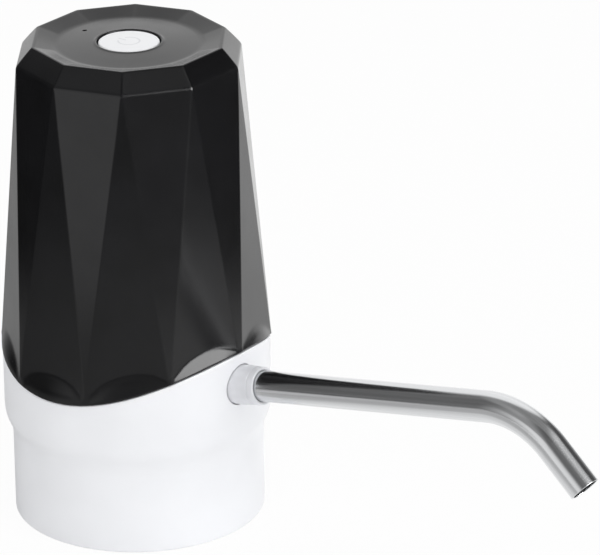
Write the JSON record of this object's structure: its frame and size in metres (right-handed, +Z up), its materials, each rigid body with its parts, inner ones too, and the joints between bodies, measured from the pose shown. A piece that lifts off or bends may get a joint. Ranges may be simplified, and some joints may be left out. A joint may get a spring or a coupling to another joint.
{
  "type": "bottled water pump",
  "caption": "Battery water pump that stands on a bottle's neck: faceted black casing with a dished top and push button, white skirt, and a bent steel spout.",
  "frame": {"origin": "on the body's axis, in the plane of the skirt's bottom rim, where the pump goes onto a bottle's neck", "axes": "+Z up along the body's axis, +X towards the spout"},
  "size_m": [0.1789, 0.07, 0.1282],
  "materials": {
    "upper_black": "high-gloss black moulded ABS",
    "lower_white": "satin-gloss white moulded ABS",
    "button_white": "smooth white moulded ABS",
    "collar_white": "slightly translucent white moulded plastic",
    "spout_steel": "polished stainless steel tube",
    "plated_steel": "zinc or nickel plated steel",
    "motor_case": "zinc plated motor can",
    "battery_sleeve": "blue shrink sleeve on a metal cell",
    "board_green": "green solder mask on a circuit board",
    "dark_plastic": "dark moulded plastic",
    "pump_plastic": "natural acetal plastic",
    "silicone_clear": "clear silicone tube",
    "silicone_grey": "grey silicone rubber",
    "lead_grey": "grey vinyl insulation",
    "lead_red": "red vinyl insulation",
    "led_clear": "clear moulded lamp body"
  },
  "bodies": {
    "base": {"upper_housing": "upper_black", "lower_housing": "lower_white", "spout_collar": "collar_white", "idler_pin": "spout_steel", "board_screw_1": "plated_steel", "board_screw_2": "plated_steel", "holder_screw_1": "plated_steel", "holder_screw_2": "plated_steel", "motor_screw_1": "plated_steel", "motor_screw_2": "plated_steel", "pump_screw_1": "plated_steel", "pump_screw_2": "plated_steel", "pump_screw_3": "plated_steel", "pump_screw_4": "plated_steel", "housing_screw_1": "plated_steel", "housing_screw_2": "plated_steel", "housing_screw_3": "plated_steel", "hose_clip_1": "plated_steel", "hose_clip_2": "plated_steel", "usb_socket": "plated_steel", "pump_motor": "motor_case", "battery_cell": "battery_sleeve", "switch_board": "board_green", "main_board": "board_green", "battery_holder": "dark_plastic", "motor_end_cap": "dark_plastic", "tact_switch": "dark_plastic", "pump_body": "pump_plastic", "pump_cover": "pump_plastic", "outlet_coupling": "silicone_clear", "spout_o_ring": "silicone_grey", "pump_gasket": "silicone_grey", "shaft_seal": "silicone_grey", "inlet_seal": "silicone_grey", "neck_grip": "silicone_grey", "switch_cable": "lead_grey", "motor_lead": "lead_red", "battery_lead": "lead_red", "indicator_led": "led_clear"},
    "button": {"power_button": "button_white", "switch_plunger": "dark_plastic"},
    "spout": {"spout_tube": "spout_steel"},
    "rotor": {"motor_shaft": "spout_steel", "drive_gear": "pump_plastic"},
    "idler": {"driven_gear": "pump_plastic"}
  },
  "joints": [
    {"name": "button_press", "type": "slide", "parent": "base", "child": "button", "axis": [0, 0, -1], "range_m": [0, 0.0006], "stiffness_N_per_m": 1500, "springref_m": -0.0004},
    {"name": "spout_swivel", "type": "hinge", "parent": "base", "child": "spout", "pos_m": [0, 0, 0.03535], "axis": [0.9825, 0, 0.1862], "range_deg": [-180, 180]},
    {"name": "rotor_spin", "type": "hinge", "parent": "base", "child": "rotor", "pos_m": [0.005, -0.006, 0.036], "axis": [0, 0, 1], "continuous": true},
    {"name": "idler_spin", "type": "hinge", "parent": "base", "child": "idler", "pos_m": [0.005, 0.006, 0.036], "axis": [0, 0, 1], "continuous": true}
  ],
  "couplings": [
    {"joint": "idler_spin", "follows": "rotor_spin", "ratio": -1}
  ]
}
